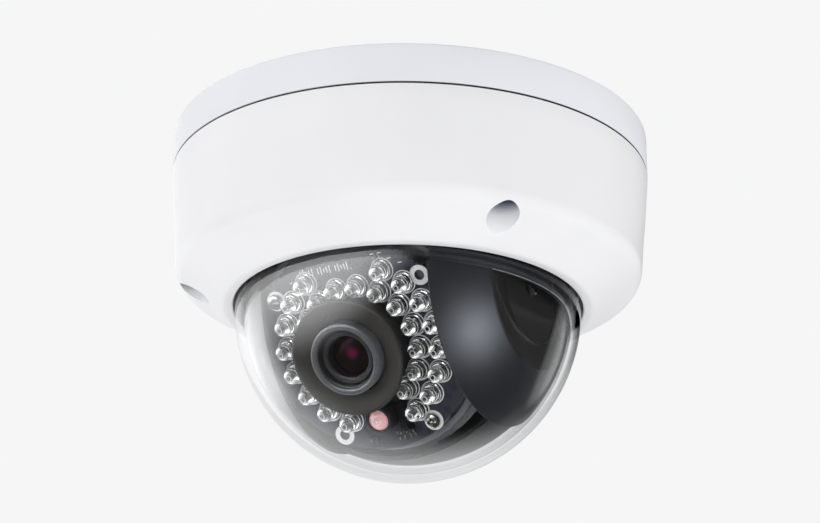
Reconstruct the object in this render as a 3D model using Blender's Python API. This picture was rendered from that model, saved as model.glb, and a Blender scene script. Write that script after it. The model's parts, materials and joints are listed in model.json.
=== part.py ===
"""Ceiling dome security camera: white metal shell, clear dome, and an infra-red camera
module carried on pan, tilt and rotation pivots.

The origin is the centre of the mounting face, +Z points into the ceiling and the dome
hangs towards -Z. Lengths are in millimetres until a mesh is made, which is in metres.
"""
from math import cos, pi, radians, sin, sqrt

import bmesh
import bpy

MM = 0.001

# Driving dimensions ------------------------------------------------------------------
SHELL_R = 55.5            # outside radius at the seam between base and cover
SHELL_H = 42.5            # mounting face to the rim of the dome opening
SEAM_Z = -9.45            # lower edge of the mounting base
SEAM_GAP = 0.4            # open seam between base and cover
FIT = 0.3                 # gap left between pieces that touch

DOME_R = 40.0             # outside radius of the clear dome
DOME_WALL = 2.0
DOME_Z = -42.4            # centre of the dome's sphere
OPENING_R = DOME_R + 0.4  # hole in the cover that the dome comes through

BALL_Z = -42.3            # where the pan, tilt and rotation axes cross
PAN_DEG = -29.0           # the tilt axis, turned from +X
TILT_DEG = 37.3           # the lens, below the horizon

SHROUD_R = 37.4           # outside of the black turning shroud
SHROUD_WALL = 1.0
SLOT_HALF = 21.4          # half width of the slot between the side shells
FACET_X = 32.0            # flat side face, out along the tilt axis
SKIRT_Z = -41.2           # lower edge of the turntable's skirt, hidden above the cover's lip
LEDGE_Z = -44.7           # lower edge of the round band over the flat side faces
SLICE_R = 36.0            # outside of the tilting eyeball shell

SCREW_RING_R = 49.7       # cover screws
SCREW_ANGLES = (-65.5, 54.5, 174.5)
RECESS_R = 3.7
CLAMP_POST_R = 47.0       # posts for the dome clamp ring
CLAMP_ANGLES = tuple(angle + 60.0 for angle in SCREW_ANGLES)
POST_RING_R = 41.5        # base posts that carry the chassis plate
BOARD_POST_R = 33.0       # base posts that carry the main board
CABLE_HOLE_R = 8.0
CABLE_AT = (0.0, 16.0)    # behind the middle, which is left flat

TRAY_R = 27.0             # rim of the module tray
TRAY_L = 21.0             # front of the tray, out along the lens axis
BOARD_R = 25.0            # infra-red board
BOARD_L = 25.3            # front face of that board
BOARD_T = 1.2
BOARD_FLAT_Y = 21.0       # top edge, cut straight
BOARD_HOLES = ((-18.4, 13.5), (18.4, 13.5), (-11.5, -20.1), (11.5, -20.1))
SCREWED_HOLES = (0, 3)
LED_R = 2.0
LED_FLANGE_R = 2.3
LED_TOP_L = 30.2
OUTER_RING = {"radius": 19.0, "first": 59.0, "step": 17.5, "per_side": 8}
INNER_RING = {"radius": 13.9, "first": 78.75, "step": 22.5, "per_side": 7}
BARREL_R = 8.45
LENS_FRONT_L = 36.4
SHADE_RIM_R = 13.6
SHADE_RIM_L = 35.0
PHOTOCELL_AT = (0.8, -16.6)

ROUND = 48                # sides of the outer shell
TURN = 36                 # sides of the dome and of what runs inside it
SMALL = 16                # sides of screws, posts and bores


# Helpers -----------------------------------------------------------------------------
def clear_scene():
    """Remove everything that is already in the file."""
    for item in list(bpy.data.objects):
        bpy.data.objects.remove(item, do_unlink=True)


def finish(name, colour, roughness, metallic=0.0, alpha=1.0):
    """A plain Principled material."""
    material = bpy.data.materials.new(name)
    material.use_nodes = True
    shader = material.node_tree.nodes["Principled BSDF"]
    shader.inputs["Base Color"].default_value = (*colour, 1.0)
    shader.inputs["Roughness"].default_value = roughness
    shader.inputs["Metallic"].default_value = metallic
    shader.inputs["Alpha"].default_value = alpha
    return material


def empty(name, parent=None, location=(0, 0, 0), rotation=(0, 0, 0)):
    """An axis system on a joint, which its pieces are placed under."""
    pivot = bpy.data.objects.new(name, None)
    bpy.context.scene.collection.objects.link(pivot)
    pivot.parent = parent
    pivot.location = [MM * value for value in location]
    pivot.rotation_euler = rotation
    return pivot


def make_object(name, bm, material, parent=None, location=(0, 0, 0), rotation=(0, 0, 0)):
    """Turn a bmesh in millimetres into a placed object whose faces point out."""
    bmesh.ops.scale(bm, vec=(MM, MM, MM), verts=bm.verts)
    bmesh.ops.recalc_face_normals(bm, faces=bm.faces)
    if bm.calc_volume(signed=True) < 0:
        bmesh.ops.reverse_faces(bm, faces=bm.faces)
    mesh = bpy.data.meshes.new(name)
    bm.to_mesh(mesh)
    bm.free()
    mesh.shade_smooth()
    mesh.set_sharp_from_angle(angle=radians(32))
    made = bpy.data.objects.new(name, mesh)
    bpy.context.scene.collection.objects.link(made)
    made.parent = parent
    made.location = [MM * value for value in location]
    made.rotation_euler = rotation
    if material:
        mesh.materials.append(material)
    else:
        made.hide_render = True
        made.display_type = "WIRE"
    return made


def turned(name, outline, material, steps=TURN, sweep=360.0, start=0.0, **place):
    """Revolve an outline of (radius, height) points about local Z.

    An outline that starts and ends on the axis stays open there, any other is closed.
    A part turn, from start for sweep degrees about Z, gets flat ends.
    """
    bm = bmesh.new()
    aim = radians(start)
    points = [bm.verts.new((r * cos(aim), r * sin(aim), h)) for r, h in outline]
    edges = [bm.edges.new(pair) for pair in zip(points, points[1:])]
    if outline[0][0] > 0:
        edges.append(bm.edges.new((points[-1], points[0])))
    full = sweep == 360.0
    bmesh.ops.spin(bm, geom=points + edges, cent=(0, 0, 0), axis=(0, 0, 1),
                   angle=radians(sweep), steps=steps, use_merge=full)
    bmesh.ops.remove_doubles(bm, verts=bm.verts, dist=1e-5)
    if not full:
        rim = [edge for edge in bm.edges if edge.is_boundary]
        bmesh.ops.holes_fill(bm, edges=rim)
    return make_object(name, bm, material, **place)


def circle(x, y, radius, steps=SMALL):
    """Points of a circle, counter-clockwise."""
    return [(x + radius * cos(2 * pi * k / steps), y + radius * sin(2 * pi * k / steps))
            for k in range(steps)]


def arc(centre, radius, first, last, steps):
    """Points of an arc between two angles in degrees, both ends included."""
    angles = [radians(first + (last - first) * k / steps) for k in range(steps + 1)]
    return [(centre[0] + radius * cos(a), centre[1] + radius * sin(a)) for a in angles]


def polar(radius, degrees):
    """A point on a circle about Z."""
    return radius * cos(radians(degrees)), radius * sin(radians(degrees))


def plate(name, outline, holes, low, high, material, **place):
    """A flat plate from a closed outline and closed hole outlines, low to high in Z."""
    bm = bmesh.new()
    edges = []
    for loop in [outline] + holes:
        points = [bm.verts.new((x, y, low)) for x, y in loop]
        edges += [bm.edges.new(pair) for pair in zip(points, points[1:] + points[:1])]
    bmesh.ops.triangle_fill(bm, use_beauty=True, use_dissolve=False, edges=edges)
    lifted = bmesh.ops.extrude_face_region(bm, geom=bm.faces[:])
    moved = [item for item in lifted["geom"] if isinstance(item, bmesh.types.BMVert)]
    bmesh.ops.translate(bm, vec=(0, 0, high - low), verts=moved)
    return make_object(name, bm, material, **place)


def rods(name, members, steps=SMALL, **place):
    """A hidden guide of upright rods, each (x, y, radius, low, high)."""
    bm = bmesh.new()
    for x, y, radius, low, high in members:
        rod = bmesh.ops.create_cone(bm, cap_ends=True, segments=steps, radius1=radius,
                                    radius2=radius, depth=high - low)
        bmesh.ops.translate(bm, vec=(x, y, (low + high) / 2), verts=rod["verts"])
    return make_object(name, bm, None, **place)


def block(name, low, high, **place):
    """A hidden box guide between two corners."""
    bm = bmesh.new()
    bmesh.ops.create_cube(bm, size=1.0)
    size = [b - a for a, b in zip(low, high)]
    middle = [(a + b) / 2 for a, b in zip(low, high)]
    bmesh.ops.scale(bm, vec=size, verts=bm.verts)
    bmesh.ops.translate(bm, vec=middle, verts=bm.verts)
    return make_object(name, bm, None, **place)


def combine(target, guide, operation):
    """Add a guide to an object, or cut it away, with an exact Boolean."""
    modifier = target.modifiers.new(guide.name, "BOOLEAN")
    modifier.operation = operation
    modifier.solver = "EXACT"
    modifier.object = guide


# Finishes ----------------------------------------------------------------------------
def make_finishes():
    """Every finish of the camera, by name."""
    return {
        "white_paint": finish("white_paint", (0.86, 0.86, 0.87), 0.42),
        "black_rubber": finish("black_rubber", (0.02, 0.02, 0.02), 0.8),
        "screw_steel": finish("screw_steel", (0.55, 0.55, 0.56), 0.3, 1.0),
        "clear_plastic": finish("clear_plastic", (0.95, 0.97, 1.0), 0.03, alpha=0.2),
        "black_plastic": finish("black_plastic", (0.035, 0.035, 0.04), 0.45),
        "grey_plastic": finish("grey_plastic", (0.1, 0.1, 0.11), 0.5),
        "zinc_plate": finish("zinc_plate", (0.6, 0.6, 0.62), 0.35, 1.0),
        "circuit_green": finish("circuit_green", (0.02, 0.12, 0.06), 0.4),
        "circuit_black": finish("circuit_black", (0.05, 0.05, 0.07), 0.3),
        "led_clear": finish("led_clear", (0.85, 0.87, 0.9), 0.08, alpha=0.5),
        "photocell_red": finish("photocell_red", (0.8, 0.25, 0.28), 0.3),
        "shade_plastic": finish("shade_plastic", (0.06, 0.056, 0.052), 0.7),
        "barrel_metal": finish("barrel_metal", (0.12, 0.12, 0.13), 0.4, 0.6),
        "lens_glass": finish("lens_glass", (0.05, 0.03, 0.06), 0.02),
    }


# Fixed shell -------------------------------------------------------------------------
def mounting_base(f):
    """Cast back box that screws to the ceiling, with posts and screw bosses."""
    outline = [(0, 0), (SHELL_R - 0.6, 0), (SHELL_R - 0.2, -0.4), (SHELL_R, SEAM_Z),
               (SHELL_R - 2.9, SEAM_Z), (SHELL_R - 3.2, -3), (0, -3)]
    base = turned("mounting_base", outline, f["white_paint"], steps=ROUND)
    posts = [(*polar(SCREW_RING_R, a), 3.2, -8.9, -2) for a in SCREW_ANGLES]
    posts += [(*polar(POST_RING_R, a), 3.0, SEAM_Z + 0.3, -2) for a in CLAMP_ANGLES]
    posts += [(*polar(BOARD_POST_R, a), 2.5, -5.3, -2) for a in CLAMP_ANGLES]
    combine(base, rods("base_posts", posts, steps=12), "UNION")
    holes = [(*polar(SCREW_RING_R, a), 1.8, -12, -4) for a in SCREW_ANGLES]
    holes += [(*polar(27.0, a), 2.25, -5, 2) for a in SCREW_ANGLES]
    combine(base, rods("base_holes", holes, steps=12), "DIFFERENCE")
    cable_hole = rods("cable_hole", [(*CABLE_AT, CABLE_HOLE_R, -5, 2)], steps=24)
    combine(base, cable_hole, "DIFFERENCE")


def cable_grommet(f):
    """Rubber sleeve in the cable hole."""
    outer = CABLE_HOLE_R - FIT
    outline = [(3.6, -0.3), (outer, -0.3), (outer, -3.3), (outer + 2, -3.3),
               (outer + 2, -4.8), (3.6, -4.8)]
    turned("cable_grommet", outline, f["black_rubber"], steps=24,
           location=(*CABLE_AT, 0))


def base_gasket(f):
    """Flat rubber ring in the cover's rebate, which shows as the dark seam."""
    low, high = SEAM_Z - 1.5, SEAM_Z - FIT
    outline = [(51.8, low), (54.1, low), (54.1, high), (51.8, high)]
    turned("base_gasket", outline, f["black_rubber"])


def cover_outline():
    """Outside of the cover, seam to opening: drafted wall, soft shoulder, cone, lip."""
    top = SEAM_Z - SEAM_GAP
    shoulder = arc((49.8, -32.4), 4.3, -4, -52, 3)
    lip = arc((42.2, -40.7), 1.8, -55, -90, 2)
    return [(0, top), (SHELL_R - 0.2, top), (SHELL_R, top - 0.3), (54.9, -20.0), *shoulder,
            (47.5, -39.0), *lip, (OPENING_R + 0.4, -SHELL_H), (OPENING_R, -SHELL_H + 0.4),
            (OPENING_R - 5, -SHELL_H + 0.4), (0, -SHELL_H + 0.4)]


def dome_cover(f):
    """Cast cover with the dome opening, screw columns and clamp posts."""
    cover = turned("dome_cover", cover_outline(), f["white_paint"], steps=ROUND)
    cavity = turned("cover_cavity", [
        (0, 2), (54.4, 2), (54.4, SEAM_Z - 1.8), (51.4, SEAM_Z - 1.8), (51.4, -31.6),
        (44.4, -37.5), (OPENING_R, -37.5), (OPENING_R, -50), (0, -50)], None, steps=ROUND)
    columns = [(*polar(SCREW_RING_R, a), 5.2, -60, -11.6) for a in SCREW_ANGLES]
    columns += [(*polar(CLAMP_POST_R, a), 2.6, -60, -33.9) for a in CLAMP_ANGLES]
    combine(cavity, rods("cover_columns", columns, steps=20), "DIFFERENCE")
    combine(cover, cavity, "DIFFERENCE")
    holes = [(*polar(SCREW_RING_R, a), RECESS_R, -60, -26) for a in SCREW_ANGLES]
    combine(cover, rods("screw_recesses", holes, steps=24), "DIFFERENCE")
    holes = [(*polar(SCREW_RING_R, a), 1.8, -30, 0) for a in SCREW_ANGLES]
    holes += [(*polar(CLAMP_POST_R, a), 1.0, -36.6, -30) for a in CLAMP_ANGLES]
    combine(cover, rods("screw_clearances", holes, steps=12), "DIFFERENCE")


def cover_screws(f):
    """Tamper-resistant screws, deep in the cover's recesses."""
    seat = -26 - FIT
    outline = [(0, -4.6), (1.5, -4.6), (1.5, seat), (2.9, seat), (2.9, seat - 1.4),
               (2.2, seat - 2.2), (0.8, seat - 2.2), (0.8, seat - 1.2), (0, seat - 1.2)]
    for number, angle in enumerate(SCREW_ANGLES, 1):
        turned(f"cover_screw_{number}", outline, f["screw_steel"], steps=12,
               location=(*polar(SCREW_RING_R, angle), 0))


def clear_dome(f):
    """Clear hemisphere with a short neck and the flange that holds it."""
    inner = DOME_R - DOME_WALL
    outline = arc((0, DOME_Z), DOME_R, -90, 0, 9)
    outline += [(DOME_R, -35.9), (43.4, -35.9), (43.4, -33.9), (inner, -33.9)]
    outline += arc((0, DOME_Z), inner, 0, -90, 9)
    outline[0] = (0, outline[0][1])
    outline[-1] = (0, outline[-1][1])
    turned("clear_dome", outline, f["clear_plastic"])


def dome_seal(f):
    """Rubber ring between the dome's flange and the cover."""
    outline = [(40.8, -37.2), (43.4, -37.2), (43.4, -36.2), (40.8, -36.2)]
    turned("dome_seal", outline, f["black_rubber"])


def dome_clamp_ring(f):
    """Steel ring with three ears that holds the dome in the cover."""
    outline = []
    for ear in CLAMP_ANGLES:
        outline += [polar(48.4, ear - 3.5), polar(48.4, ear + 3.5)]
        outline += arc((0, 0), 43.6, ear + 7, ear + 113, 9)
    holes = [circle(0, 0, 38.8, TURN)]
    holes += [circle(*polar(CLAMP_POST_R, a), 1.2, 10) for a in CLAMP_ANGLES]
    plate("dome_clamp_ring", outline, holes, -33.6, -32.4, f["zinc_plate"])


def chassis_plate(f):
    """Fixed plate on the base posts, with the pan bearing in its middle."""
    outline = [(8.0, -9.5), (44.0, -9.5), (44.0, -11.1), (8.0, -11.1)]
    plate_body = turned("chassis_plate", outline, f["zinc_plate"], steps=36)
    vents = [(*polar(24.0, 90.0 * k), 5.0, -20, 0) for k in range(4)]
    combine(plate_body, rods("chassis_vents", vents, steps=12), "DIFFERENCE")


def main_board(f):
    """Processor and network board, round, behind the chassis plate."""
    holes = [circle(*CABLE_AT, CABLE_HOLE_R + 2.0, 24)]
    holes += [circle(*polar(BOARD_POST_R, a), 1.2, 8) for a in CLAMP_ANGLES]
    plate("main_board", circle(0, 0, 37.5, 36), holes, -7.2, -5.6, f["circuit_green"])


# Pan stage ---------------------------------------------------------------------------
def pan_turntable(f, pan):
    """Turning carrier: hub in the chassis plate, disc, and a skirt open at the lens."""
    top, low = -12.0 - BALL_Z, SKIRT_Z - BALL_Z
    hub = -8.0 - BALL_Z
    inner = SHROUD_R - SHROUD_WALL
    outline = [(5.0, top - 1.6), (5.0, hub), (7.6, hub), (7.6, top), (SHROUD_R - 1.0, top),
               (SHROUD_R, top - 1.0), (SHROUD_R, low), (inner, low), (inner, top - 1.6)]
    table = turned("pan_turntable", outline, f["black_plastic"], parent=pan)
    window = block("lens_window", (-SLOT_HALF, -60, low - 10), (SLOT_HALF, -20, top - 4),
                   parent=pan)
    combine(table, window, "DIFFERENCE")


def pan_retainer(f, pan):
    """Clip ring that holds the turntable's hub in the chassis plate."""
    low, high = -9.2 - BALL_Z, -8.0 - BALL_Z
    outline = [(7.8, low), (10.8, low), (10.8, high), (7.8, high)]
    turned("pan_retainer", outline, f["black_plastic"], steps=24, parent=pan)


def side_shells(f, pan):
    """The two black cheeks of the ball: a sphere with a flat round face at each side.

    A round band runs over the flat face, and the face carries on up behind it, inside
    the turntable's skirt, where the shell is held.
    """
    inner = SHROUD_R - SHROUD_WALL - 0.2
    edge, face = SLOT_HALF / SHROUD_R, FACET_X / SHROUD_R
    inner_edge, inner_face = SLOT_HALF / inner, (FACET_X - 1.4) / inner
    outline = ball_arc(SHROUD_R, edge, face, 3)
    outline += [(13.0, FACET_X), (12.7, FACET_X - 0.4), (1.6, FACET_X - 0.4),
                (1.6, FACET_X - 1.4)]
    outline += ball_arc(inner, inner_face, inner_edge, 3)
    ledge, band_top = LEDGE_Z - BALL_Z, SKIRT_Z - BALL_Z - FIT
    reach, bore = SHROUD_R - SHROUD_WALL - FIT, SHROUD_R - SHROUD_WALL
    room = turned("skirt_room", [(reach, ledge), (60, ledge), (60, 60), (reach, 60)], None,
                  parent=pan)
    above = block("above_shells", (-50, -50, 6.0), (50, 50, 60), parent=pan)
    band = [(bore, ledge - 0.2), (SHROUD_R, ledge - 0.2), (SHROUD_R, band_top),
            (bore, band_top)]
    half_sweep = 54.0
    for side, turn, middle in (("left", -pi / 2, 180.0), ("right", pi / 2, 0.0)):
        shell = turned(f"side_shell_{side}", outline, f["black_plastic"], parent=pan,
                       rotation=(0, turn, 0))
        combine(shell, room, "DIFFERENCE")
        combine(shell, above, "DIFFERENCE")
        ring = turned(f"shell_band_{side}", band, None, steps=12, sweep=2 * half_sweep,
                      start=middle - half_sweep, parent=pan)
        combine(shell, ring, "UNION")


def ball_arc(radius, first, last, steps):
    """Points of a sphere's outline between two heights, given as parts of its radius."""
    heights = [radius * (first + (last - first) * k / steps) for k in range(steps + 1)]
    return [(sqrt(radius ** 2 - h ** 2), h) for h in heights]


def tilt_screws(f, pan):
    """Shoulder screws in the flat side faces, which the camera tilts on."""
    seat = FACET_X - 0.1
    outline = [(0, 27.6), (1.2, 27.6), (1.2, seat), (2.2, seat), (2.2, seat + 0.7),
               (1.6, seat + 1.1), (0.7, seat + 1.1), (0.7, seat + 0.4), (0, seat + 0.4)]
    for side, turn in (("left", -pi / 2), ("right", pi / 2)):
        turned(f"tilt_screw_{side}", outline, f["screw_steel"], steps=12, parent=pan,
               rotation=(0, turn, 0))


# Tilt stage --------------------------------------------------------------------------
def eyeball_shell(f, tilt):
    """Black slice of the ball that closes the slot behind and below the module."""
    half = SLOT_HALF - 0.2
    inner = SLICE_R - 1.2
    outline = ball_arc(SLICE_R, -half / SLICE_R, half / SLICE_R, 6)
    outline += ball_arc(inner, half / inner, -half / inner, 6)
    turned("eyeball_shell", outline, f["black_plastic"], steps=12, sweep=97.0, start=55.7,
           parent=tilt, rotation=(pi, -pi / 2, 0))


def tilt_frame(f, tilt):
    """Ring round the tray, arms to the tilt screws, and a strap under the eyeball shell."""
    ring_back, ring_front = 13.3, 16.6
    outline = [(26.4, ring_back), (28.4, ring_back), (28.4, ring_front), (26.4, ring_front)]
    frame = turned("tilt_frame", outline, f["grey_plastic"], parent=tilt)
    for side in (-1, 1):
        near, far = sorted((side * 28.0, side * 30.2))
        arm = block(f"tilt_arm_{side}", (near, -4, -4), (far, 4, ring_front), parent=tilt)
        combine(frame, arm, "UNION")
    strap = [(ring_front - 0.2, -27.2)] + arc((0, 0), 33.6, -62, -150, 8)
    strap += arc((0, 0), 32.2, -150, -70, 8) + [(ring_back + 0.2, -27.2)]
    guide = plate("frame_strap", strap, [], -6, 6, None, parent=tilt,
                  rotation=(0, -pi / 2, 0))
    combine(frame, guide, "UNION")
    bore = rods("tilt_bore", [(0, 0, 1.5, -40, 40)], steps=12, parent=tilt,
                rotation=(0, pi / 2, 0))
    combine(frame, bore, "DIFFERENCE")


# Camera module -----------------------------------------------------------------------
def board_tray(f, lens):
    """Moulded tray that turns in the tilt frame and carries the boards and the lens."""
    bore = BARREL_R + FIT
    outline = [(bore, 9.0), (12.0, 9.0), (12.0, 13.0), (26.1, 13.0), (26.1, 16.9),
               (TRAY_R, 16.9), (TRAY_R, TRAY_L - 0.4), (TRAY_R - 0.4, TRAY_L),
               (TRAY_R - 1.6, TRAY_L), (TRAY_R - 1.6, TRAY_L - 1.5), (bore, TRAY_L - 1.5)]
    tray = turned("board_tray", outline, f["grey_plastic"], parent=lens)
    top = BOARD_L - BOARD_T - FIT
    posts = [(x, y, 2.2, TRAY_L - 3, top) for x, y in BOARD_HOLES]
    combine(tray, rods("tray_posts", posts, steps=12, parent=lens), "UNION")
    pilots = [(x, y, 1.1, TRAY_L - 0.5, 30) for x, y in BOARD_HOLES]
    combine(tray, rods("tray_pilots", pilots, steps=8, parent=lens), "DIFFERENCE")


def led_board(f, lens):
    """Round infra-red board with a flat top edge and cut corners."""
    corner = sqrt(BOARD_R ** 2 - 15.0 ** 2)
    outline = [(13.4, BOARD_FLAT_Y), (-13.4, BOARD_FLAT_Y)]
    outline += arc((0, 0), BOARD_R, 180 - 36.87, 360 + 36.87, 40)
    outline[2], outline[-1] = (-corner, 15.0), (corner, 15.0)
    holes = [circle(0, 0, 9.4, 24)] + [circle(x, y, 1.2, 10) for x, y in BOARD_HOLES]
    plate("led_board", outline, holes, BOARD_L - BOARD_T, BOARD_L, f["circuit_black"],
          parent=lens)


def led_places():
    """Every LED's place on the board: two rings, mirrored left and right."""
    places = []
    for ring in (OUTER_RING, INNER_RING):
        right = [ring["first"] - ring["step"] * k for k in range(ring["per_side"])]
        left = [180.0 - angle for angle in reversed(right)]
        places += [polar(ring["radius"], angle) for angle in right + left]
    return places


def ir_leds(f, lens):
    """Infra-red LEDs, all alike: flange, body and domed end."""
    foot = BOARD_L + 0.15
    outline = [(0, foot), (LED_FLANGE_R, foot), (LED_R, foot + 0.9), (LED_R, 28.0),
               (1.4, LED_TOP_L - 0.6), (0, LED_TOP_L)]
    for number, (x, y) in enumerate(led_places(), 1):
        turned(f"ir_led_{number:02d}", outline, f["led_clear"], steps=8, parent=lens,
               location=(x, y, 0))


def photocell(f, lens):
    """Day and night sensor: a red window in a round black holder."""
    foot = BOARD_L + 0.2
    holder = [(0, foot), (3.3, foot), (3.3, 30.8), (3.0, 31.1), (2.6, 31.1), (2.6, 29.4),
              (0, 29.4)]
    turned("photocell_holder", holder, f["black_plastic"], steps=20, parent=lens,
           location=(*PHOTOCELL_AT, 0))
    window = [(0, 29.6), (2.3, 29.6), (2.3, 31.0), (1.6, 31.3), (0, 31.4)]
    turned("photocell_window", window, f["photocell_red"], steps=20, parent=lens,
           location=(*PHOTOCELL_AT, 0))


def lens_shade(f, lens):
    """Flared matt shade round the lens, which keeps the LEDs' light out of it."""
    bore, foot = BARREL_R + FIT, BOARD_L + FIT
    outline = [(bore, foot), (11.0, foot), (11.3, 30.4), (12.6, 33.4),
               (SHADE_RIM_R, SHADE_RIM_L - 0.5), (SHADE_RIM_R - 0.1, SHADE_RIM_L),
               (13.1, SHADE_RIM_L), (bore, 33.9)]
    turned("lens_shade", outline, f["shade_plastic"], steps=24, parent=lens)


def lens_barrel(f, lens):
    """Lens barrel with a stepped, open front that the glass sits in."""
    outline = [(0, 8.0), (BARREL_R - 0.6, 8.0), (BARREL_R, 8.6), (BARREL_R, 35.8),
               (BARREL_R - 0.5, LENS_FRONT_L), (7.1, LENS_FRONT_L), (6.8, 35.6),
               (6.2, 34.6), (5.2, 34.2), (4.9, 33.2), (4.9, 30.0), (0, 30.0)]
    turned("lens_barrel", outline, f["barrel_metal"], steps=24, parent=lens)


def front_lens(f, lens):
    """Front glass, domed, in the barrel's mouth."""
    outline = [(0, 30.3), (4.6, 30.3), (4.6, 32.0), (3.4, 32.6), (1.8, 32.9), (0, 33.0)]
    turned("front_lens", outline, f["lens_glass"], steps=24, parent=lens)


def sensor_board(f, lens):
    """Square image sensor board behind the lens."""
    outline = [(-12, -12), (12, -12), (12, 12), (-12, 12)]
    holes = [circle(x, y, 1.2, 8) for x in (-9.5, 9.5) for y in (-9.5, 9.5)]
    plate("sensor_board", outline, holes, 5.9, 7.5, f["circuit_green"], parent=lens)


def board_screws(f, lens):
    """Low pan-head screws through two of the board's corner holes."""
    seat = BOARD_L + 0.1
    outline = [(0, TRAY_L), (0.8, TRAY_L), (0.8, seat), (1.7, seat), (1.5, seat + 0.5),
               (0.5, seat + 0.5), (0.5, seat + 0.2), (0, seat + 0.2)]
    for number, hole in enumerate(SCREWED_HOLES, 1):
        turned(f"board_screw_{number}", outline, f["screw_steel"], steps=10, parent=lens,
               location=(*BOARD_HOLES[hole], 0))


def main():
    clear_scene()
    f = make_finishes()
    for build in (mounting_base, cable_grommet, base_gasket, dome_cover, cover_screws,
                  clear_dome, dome_seal, dome_clamp_ring, chassis_plate, main_board):
        build(f)
    pan = empty("pan_axis", location=(0, 0, BALL_Z), rotation=(0, 0, radians(PAN_DEG)))
    for build in (pan_turntable, pan_retainer, side_shells, tilt_screws):
        build(f, pan)
    tilt = empty("tilt_axis", parent=pan, rotation=(radians(TILT_DEG + 90.0), 0, 0))
    eyeball_shell(f, tilt)
    tilt_frame(f, tilt)
    lens = empty("lens_axis", parent=tilt)
    for build in (board_tray, led_board, ir_leds, photocell, lens_shade, lens_barrel,
                  front_lens, sensor_board, board_screws):
        build(f, lens)
    bpy.context.view_layer.update()


main()
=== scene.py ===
"""Looks of the dome security camera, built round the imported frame.

Outlines are in millimetres in the axes of the piece they turn about, and become metres
when a mesh is made.
"""
import json
from math import asin, atan2, cos, degrees, hypot, pi, radians, sin, sqrt

import bmesh
import bpy
from mathutils import Matrix, Vector


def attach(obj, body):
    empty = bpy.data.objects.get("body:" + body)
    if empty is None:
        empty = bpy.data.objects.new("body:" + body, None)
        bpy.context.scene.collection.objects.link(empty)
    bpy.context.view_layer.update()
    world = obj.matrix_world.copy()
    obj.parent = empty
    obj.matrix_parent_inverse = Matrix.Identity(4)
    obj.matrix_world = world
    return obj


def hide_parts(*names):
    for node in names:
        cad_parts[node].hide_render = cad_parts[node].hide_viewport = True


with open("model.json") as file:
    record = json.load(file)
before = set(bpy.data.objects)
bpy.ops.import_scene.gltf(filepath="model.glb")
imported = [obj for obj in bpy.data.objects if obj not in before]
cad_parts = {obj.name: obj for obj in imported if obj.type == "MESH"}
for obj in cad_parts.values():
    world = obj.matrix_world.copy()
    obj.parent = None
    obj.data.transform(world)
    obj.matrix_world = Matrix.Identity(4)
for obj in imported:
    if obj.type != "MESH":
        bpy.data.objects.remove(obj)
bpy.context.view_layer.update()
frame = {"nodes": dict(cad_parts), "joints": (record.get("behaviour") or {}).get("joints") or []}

MM = 0.001

# Places and sizes, read from the frame ------------------------------------------------
JOINTS = {joint["name"]: joint for joint in frame["joints"]}


def axes(origin, x_axis, z_axis):
    """A right-handed axis system as a matrix, from an origin and two directions."""
    x, z = Vector(x_axis).normalized(), Vector(z_axis).normalized()
    matrix = Matrix((x, z.cross(x), z)).transposed().to_4x4()
    matrix.translation = Vector(origin)
    return matrix


BALL = Vector(JOINTS["tilt"]["pos_m"])
TILT_X = JOINTS["tilt"]["axis"]
HOUSING = Matrix.Identity(4)
PAN = axes(BALL, TILT_X, (0, 0, 1))
TILT = axes(BALL, TILT_X, JOINTS["rotation"]["axis"])
LENS = TILT
SIDES = {"left": axes(BALL, (0, 0, -1), -Vector(TILT_X)),
         "right": axes(BALL, (0, 0, 1), TILT_X)}
BALL_Z = BALL.z / MM


def in_axes(place, *nodes):
    """Lowest and highest corners in millimetres of some CAD nodes, in a place's axes."""
    turn = place.inverted()
    points = [turn @ vertex.co / MM for node in nodes
              for vertex in frame["nodes"][node].data.vertices]
    low = [min(point[k] for point in points) for k in range(3)]
    high = [max(point[k] for point in points) for k in range(3)]
    return low, high


def middle(place, node):
    """Centre of a CAD node in a place's axes, in millimetres."""
    low, high = in_axes(place, node)
    return [(a + b) / 2 for a, b in zip(low, high)]


def heights(node, place=HOUSING):
    """Lowest and highest Z of a CAD node in a place's axes, in millimetres."""
    return [end[2] for end in in_axes(place, node)]


def reach(node, place=HOUSING):
    """Largest radius of a CAD node about a place's Z axis."""
    turn = place.inverted()
    points = [turn @ vertex.co / MM for vertex in frame["nodes"][node].data.vertices]
    return max(hypot(point.x, point.y) for point in points)


SHELL_R = reach("mounting_base")
SEAM_Z = heights("mounting_base")[0]
RIM_Z, COVER_TOP = heights("dome_cover")
DOME_R = 40.0             # outside of the clear dome
DOME_Z = heights("clear_dome")[0] + DOME_R
BOARD_BACK, BOARD_FRONT = heights("led_board", LENS)
LED_FOOT, LED_TIP = heights("ir_led_01", LENS)
FACET_X = 32.0            # flat face of a cheek, out along the tilt axis
SHROUD_R = 37.4           # outside of the cheeks
SLOT_HALF = 21.4          # half width of the slot between the cheeks
MODULE_BORE = 8.75        # clears the lens barrel
SHARP_ANGLE = 30          # edges that bend more than this stay sharp
NEARLY_STRAIGHT = 160     # corners that open wider than this are left alone


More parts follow.
